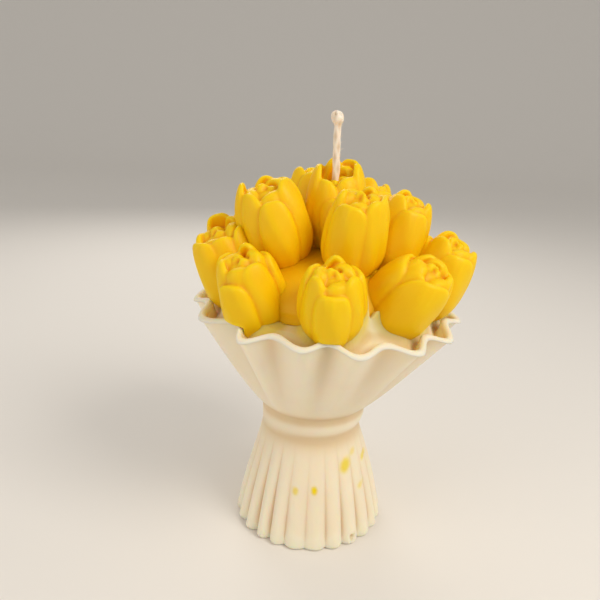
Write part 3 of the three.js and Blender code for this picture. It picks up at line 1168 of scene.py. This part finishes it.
    def hold_inside(self, points: Array) -> Array:
        """Draws points in from the cup's wall, as the flowers' feet were cast inside it.

        Args:
            points: Points of a flower head.

        Returns:
            The points, no further out than the wall below the rim, and free above it.
        """
        x, y = points[:, 0] - self.cup_offset, points[:, 1]
        around, reach = np.arctan2(y, x), np.hypot(x, y)
        rim = self.rim_height - math.tan(math.radians(self.cup_tilt_deg)) * x
        wall = self.cup_radius - self.rim_thickness - self.wall_gap
        wall = wall + self.flute_depth * self.flute_wave(around)
        wall = wall - self.front_press * (0.5 - 0.5 * np.sin(around)) ** 2
        free = np.clip((points[:, 2] - rim) / self.hold_fade + 0.5, 0, 1)
        over = np.clip(reach - wall, 0, None) * (1 - free**2 * (3 - 2 * free))
        drawn = 1 - over / np.maximum(reach, MM)
        return np.stack([self.cup_offset + x * drawn, y * drawn, points[:, 2]], -1)

    def head_distance(self, points: Array, heads: list[HeadPlace]) -> Array:
        """How far each point is outside the nearest head's skin, negative inside it."""
        belly, crown_width = TulipHead.belly, TulipHead.crown_width
        nearest = np.full(points.shape[:-1], 1.0)
        for place in heads:
            away = points - place.foot
            along = away @ place.axis
            sideways = np.linalg.norm(away - along[..., None] * place.axis, axis=-1)
            share = np.clip(along / place.length, FILLING_FOOT, 1)
            skin = head_profile(share, belly, crown_width)
            nearest = np.minimum(nearest, sideways - skin * place.half_width)
        return nearest

    def head_lips(self, points: Array, heads: list[HeadPlace]) -> Array:
        """The height of the lip round the heads: a bell of the distance to the nearest skin."""
        gap = self.head_distance(points, heads)
        wander = 1 + 0.5 * np.sin(points[..., 0] / (2.3 * MM)) * np.sin(points[..., 1] / (1.9 * MM))
        bell = np.exp(-((np.clip(gap, 0, None) / self.head_lip_width) ** 2))
        return self.head_lip * wander * bell

    def bleed(self, rings: Array, inside: Array, heads: list[HeadPlace]) -> Array:
        """How much yellow has run into the ivory: most beside the heads, a trace on the floor."""
        gap = np.clip(self.head_distance(rings, heads), 0, None)
        x, y = rings[..., 0] - self.cup_offset, rings[..., 1]
        patches = 0.5 + 0.5 * np.sin(x / (1.7 * MM) + 2) * np.sin(y / (2.1 * MM) + 1)
        amount = 0.1 + 0.6 * np.exp(-gap / (0.9 * MM)) + 0.25 * patches * np.exp(-gap / (3.5 * MM))
        amount = amount + 0.8 * self.pool(np.arctan2(y, x)) * np.exp(-gap / (3.0 * MM))
        amount = inside[:, None] * np.clip(amount, 0, 1)
        return np.concatenate([[0.0], amount.ravel(), [0.0]])


# ----------------------------------------------------------------------------------------
# Flower core and wick
# ----------------------------------------------------------------------------------------


@dataclass
class FlowerCore:
    """The mound of yellow wax that fills the pocket and shows between the heads."""

    sides: int = 160
    rings: int = 70
    lump: float = 0.35 * MM
    wall_share: float = 0.3
    wall_over_rim: float = 3.1 * MM
    painted_shade: float = 0.3

    def build(self) -> bpy.types.Object:
        """Builds the mound: an upright wall, then a quarter ellipse over, with slow lumps."""
        low, high = (np.array(corner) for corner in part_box("flower_core"))
        centre = (low + high) / 2
        wall = (high[0] - low[0]) / 2
        tilt = math.tan(math.radians(PaperWrap.cup_tilt_deg))
        foot = low[2] + wall * tilt
        shoulder = PaperWrap().rim_height + self.wall_over_rim
        climb = np.linspace(0, 1, self.rings)[:, None]
        around = full_turn(self.sides)[None]
        walled = self.wall_share
        turn = np.clip((climb - walled) / (1 - walled), 0, 0.995) * np.pi / 2
        crown = high[2] - shoulder
        wall_height = foot + (shoulder - foot) * climb / walled
        height = np.where(climb < walled, wall_height, shoulder + crown * np.sin(turn))
        radius = wall * np.cos(turn)
        lumps = np.sin(5 * around + 6 * climb) * np.sin(3 * around - 7 * climb + 1.0)
        radius = radius + self.lump * lumps * (climb > walled) * (1 - climb)
        rings = np.empty((self.rings, self.sides, 3))
        sideways = radius * np.cos(around)
        rings[..., 0] = centre[0] + sideways
        rings[..., 1] = centre[1] + radius * np.sin(around)
        rings[..., 2] = height - tilt * sideways
        mound = Patchwork()
        bottom, top = rings[0].mean(0), rings[-1].mean(0)
        mound.add_rings(bottom, rings, top)
        made = mound.build("wax_flower_core")
        # Painted shade over the whole mound, as deep as a shallow fold, because it lies between the
        # heads.
        set_attribute(made.data, "crease", np.full(len(made.data.vertices), self.painted_shade))
        return made


@dataclass
class WickCord:
    """The cotton wick: three plaited strands, dipped in wax, with a knobbed tip and loose fibres.

    It stands straight up to where the lean starts, that far below the tip. The knob is a
    flat-topped bell at knob_at of its own length below the tip, and the eyes are small dents.
    """

    radius: float = 0.94 * MM
    lean: float = -0.5 * MM
    strands: int = 3
    pitch: float = 5.2 * MM
    lean_length: float = 15.7 * MM
    wander: float = 0.12 * MM
    plait_groove: float = 0.1
    tip_swell: float = 0.8
    knob_length: float = 4.6 * MM
    knob_at: float = 0.3
    knob_width: float = 0.38
    tip_rounding: float = 3.2
    eye_degs: tuple[float, ...] = (-118.0, -62.0, 70.0)
    eye_depth_mm: float = 0.95
    eye_width_deg: float = 17.0
    eye_height_mm: float = 0.42
    eye_dent: float = 0.45
    sides: int = 48
    step: float = 0.22 * MM
    fibres: int = 9
    fibre_seed: int = 40
    fibre_rings: int = 14
    fibre_sides: int = 6
    fibre_radius: float = 0.045 * MM

    def line(self, height: Array) -> Array:
        """The x of the cord's centre line: straight to the crown, then leaning with a power."""
        low, high = (np.array(corner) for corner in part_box("wick"))
        straight_to = high[2] - self.lean_length
        middle = (low[0] + high[0]) / 2 - self.lean / 2
        bent = np.clip((height - straight_to) / (high[2] - straight_to), 0, 1)
        return middle + self.lean * bent**1.5 + self.wander * bent * np.sin(height / (2.1 * MM))

    def build(self) -> bpy.types.Object:
        """Builds the cord and its fibres.

        The cord's section is a circle with three soft lobes that turn as it climbs. Near the
        tip it swells into a knob and closes with a quarter circle.

        Returns:
            The finished object.
        """
        low, high = (np.array(corner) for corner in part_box("wick"))
        count = int((high[2] - low[2]) / self.step)
        height = np.linspace(low[2], high[2], count)[:, None]
        around = full_turn(self.sides)[None]
        lobes = np.cos(self.strands * around - 2 * np.pi * height / self.pitch)
        cross = np.cos(self.strands * around + 2 * np.pi * height / self.pitch)
        plait = 0.5 - 0.5 * np.maximum(lobes, cross)
        to_tip = (high[2] - height) / self.knob_length
        knob = self.tip_swell * np.exp(-(((to_tip - self.knob_at) / self.knob_width) ** 4))
        end = np.sqrt(np.clip(1 - np.clip(1 - to_tip * self.tip_rounding, 0, 1) ** 2, 0.0, 1))
        thick = 1 + 0.05 * np.sin(height / (3.1 * MM)) + 0.03 * np.sin(height / (1.3 * MM) + 1)
        grooved = 1 - self.plait_groove * plait / (1 + 2 * knob)
        radius = self.radius * (thick + knob) * grooved * end
        below = ((height - high[2]) / MM + self.eye_depth_mm) / self.eye_height_mm
        for facing in self.eye_degs:
            aside = degrees_from(around, facing) / self.eye_width_deg
            radius = radius * (1 - self.eye_dent * np.exp(-(aside**2) - below**2))
        rings = np.empty((count, self.sides, 3))
        rings[..., 0] = self.line(height) + radius * np.cos(around)
        rings[..., 1] = radius * np.sin(around)
        rings[..., 2] = height
        cord = Patchwork()
        cord.add_rings(rings[0].mean(0), rings[:-1], rings[-1].mean(0))
        # The plait attribute carries painted shade into the grooves between the strands, and a little
        # onto the fibres.
        plaits = [np.concatenate([[0.5], np.broadcast_to(plait, rings.shape[:2])[:-1].ravel(), [0.5]])]
        for number in range(self.fibres):
            plaits.append(self.add_fibre(cord, number, high[2]))
        made = cord.build("cotton_wick_cord")
        set_attribute(made.data, "plait", np.concatenate(plaits))
        return made

    def add_fibre(self, cord: Patchwork, number: int, tip: float) -> Array:
        """Adds one loose fibre: a thin tapered tube that curls away from the cord.

        Args:
            cord: The surfaces so far.
            number: Which fibre it is.
            tip: The height of the cord's tip.

        Returns:
            The plait value of each of its points.
        """
        luck = np.random.default_rng(self.fibre_seed + number).uniform(0, 1, 5)
        start = tip - (3.2 + 8.5 * luck[0]) * MM
        facing = np.radians(-40 + 80 * luck[1])
        reach = (0.35 + 0.6 * luck[2]) * MM
        share = np.linspace(0, 1, self.fibre_rings)
        rise = (0.5 + 1.6 * luck[3]) * MM * (share - 0.55 * share**2)
        out = self.radius * 0.85 + reach * np.sin(share * np.pi * (0.5 + 0.3 * luck[4]))
        centre = np.stack(
            [self.line(start + rise) + out * np.cos(facing), out * np.sin(facing), start + rise], -1
        )
        around = full_turn(self.fibre_sides)
        thin = self.fibre_radius * (1 - 0.7 * share)
        rings = centre[:, None] + thin[:, None, None] * np.stack(
            [np.cos(around), np.sin(around), 0 * around], -1
        )
        cord.add_rings(centre[0] - [0, 0, thin[0]], rings, centre[-1] + [0, 0, thin[-1]])
        return np.full(self.fibre_rings * self.fibre_sides + 2, 0.1)


# ----------------------------------------------------------------------------------------
# Studio
# ----------------------------------------------------------------------------------------


@dataclass(frozen=True)
class Lamp:
    """A square soft light: its name, where it hangs, its side in metres, its watts and colour."""

    name: str
    at: tuple[float, float, float]
    size: float
    power: float
    colour: Colour


LAMPS = (
    Lamp("key", (0.26, -0.20, 0.36), 0.2, 1.05, hex_colour("fff9f0")),
    Lamp("fill", (-0.34, -0.22, 0.16), 0.30, 0.35, hex_colour("fffaf6")),
    Lamp("back", (-0.10, 0.36, 0.30), 0.25, 0.5, hex_colour("fffaf4")),
)


@dataclass
class Studio:
    """A pale floor, three soft lights and the camera."""

    camera_at: tuple[float, float, float] = (0.0, -0.160, 0.1133)
    pitch_deg: float = 17.2
    yaw_deg: float = -1.8
    roll_deg: float = 2.5
    lens: float = 37.44
    sensor: float = 36.0
    clip_start: float = 0.01
    sky_colour: Colour = hex_colour("fbf8f4")
    sky_strength: float = 0.52
    floor_colour: Colour = hex_colour("ebe7e1")
    floor_roughness: float = 0.85
    lamps_aim: tuple[float, float, float] = (0.0, 0.0, 0.06)

    def build(self) -> None:
        """Makes the floor, the lights and the camera."""
        self.floor()
        for lamp in LAMPS:
            self.light(lamp)
        world = bpy.data.worlds.new("studio")
        world.use_nodes = True
        background = world.node_tree.nodes["Background"]
        background.inputs["Color"].default_value = self.sky_colour.rgba()
        background.inputs["Strength"].default_value = self.sky_strength
        bpy.context.scene.world = world
        bpy.context.scene.view_settings.view_transform = "Standard"
        self.camera()

    def floor(self) -> None:
        """A wide pale floor that sweeps up into a wall far behind the object.

        Its section is flat, then a quarter circle, then upright, and runs straight across.
        """
        turn = np.linspace(0, np.pi / 2, 24)
        bend_from, bend, top, half = 0.9, 0.8, 3.0, 4.0
        depth = np.concatenate([[-3.0], bend_from + bend * np.sin(turn), [bend_from + bend]])
        height = np.concatenate([[0.0], bend * (1 - np.cos(turn)), [top]])
        left = np.stack([np.full_like(depth, -half), depth, height], -1)
        right = left * [-1, 1, 1]
        points = np.stack([left, right], 1).reshape(-1, 3)
        first = 2 * np.arange(len(depth) - 1)
        quads = np.stack([first, first + 1, first + 3, first + 2], -1)
        floor = mesh_object("studio_floor", points, quads, np.empty((0, 3), int))
        material = bpy.data.materials.new("studio_floor")
        material.use_nodes = True
        shader = material.node_tree.nodes["Principled BSDF"]
        shader.inputs["Base Color"].default_value = self.floor_colour.rgba()
        shader.inputs["Roughness"].default_value = self.floor_roughness
        floor.data.materials.append(material)

    def light(self, lamp: Lamp) -> None:
        """Hangs a lamp so that it faces the flowers."""
        data = bpy.data.lights.new(lamp.name, "AREA")
        data.size = lamp.size
        data.energy = lamp.power
        data.color = lamp.colour.rgba()[:3]
        made = bpy.data.objects.new(lamp.name, data)
        bpy.context.scene.collection.objects.link(made)
        back = np.array(lamp.at) - np.array(self.lamps_aim)
        back /= np.linalg.norm(back)
        right = np.cross([0.0, 0.0, 1.0], back)
        right /= np.linalg.norm(right)
        made.matrix_world = self.pose(right, np.cross(back, right), back, lamp.at)

    def camera(self) -> None:
        """The camera: yawed, pitched down and then rolled about its own view line."""
        pitch, yaw, roll = (math.radians(a) for a in (self.pitch_deg, self.yaw_deg, self.roll_deg))
        ahead = np.array(
            [math.sin(yaw) * math.cos(pitch), math.cos(yaw) * math.cos(pitch), -math.sin(pitch)]
        )
        level = np.array([math.cos(yaw), -math.sin(yaw), 0.0])
        upright = np.cross(level, ahead)
        right = level * math.cos(roll) + upright * math.sin(roll)
        up = upright * math.cos(roll) - level * math.sin(roll)
        data = bpy.data.cameras.new("camera")
        data.lens = self.lens
        data.sensor_width = self.sensor
        data.clip_start = self.clip_start
        made = bpy.data.objects.new("camera", data)
        bpy.context.scene.collection.objects.link(made)
        made.matrix_world = self.pose(right, up, -ahead, self.camera_at)
        bpy.context.scene.camera = made

    @staticmethod
    def pose(right: Array, up: Array, back: Array, at: tuple) -> Matrix:
        """The matrix with those axes as columns, at that place."""
        rows = np.eye(4)
        rows[:3, :3] = np.stack([right, up, back], -1)
        rows[:3, 3] = at
        return Matrix(rows.tolist())


# ----------------------------------------------------------------------------------------
# The whole candle
# ----------------------------------------------------------------------------------------


def head_names(prefix: str) -> list[str]:
    """The names of the CAD nodes that start that way, in order."""
    return sorted(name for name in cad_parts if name.startswith(prefix))


def finish_piece(piece: bpy.types.Object, node: str, material: bpy.types.Material) -> None:
    """Gives a piece its material, which is named for its slot, and its body, hides the CAD node that it
    stands for, and reports it.

    Args:
        piece: The finished object.
        node: The CAD node that it stands for.
        material: Its material.
    """
    piece.data.materials.clear()
    piece.data.materials.append(material)
    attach(piece, BODY)
    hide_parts(node)
    log.info("%s stands for %s with %d faces", piece.name, node, len(piece.data.polygons))


def main() -> None:
    """Builds the candle piece by piece and reports each one."""
    logging.basicConfig(level=logging.INFO, format="%(name)s: %(message)s")
    cast_wax = CastWax().build()
    ivory, yellow = IVORY_WAX.build(cast_wax), YELLOW_WAX.build(cast_wax)
    voxel = VOXEL
    lower = head_names("tulip_lower")
    for head in [*tulip_heads(), TopHead("tulip_top", seed=TOP_HEAD_SEED)]:
        finish_piece(head.build(voxel), head.node, yellow)
    finish_piece(FlowerCore().build(), "flower_core", yellow)
    wrap = PaperWrap().build([HeadPlace.read(node) for node in lower])
    finish_piece(wrap, "paper_wrap", ivory)
    finish_piece(WickCord().build(), "wick", CottonFinish().build())
    Studio().build()


if __name__ == "__main__":
    main()
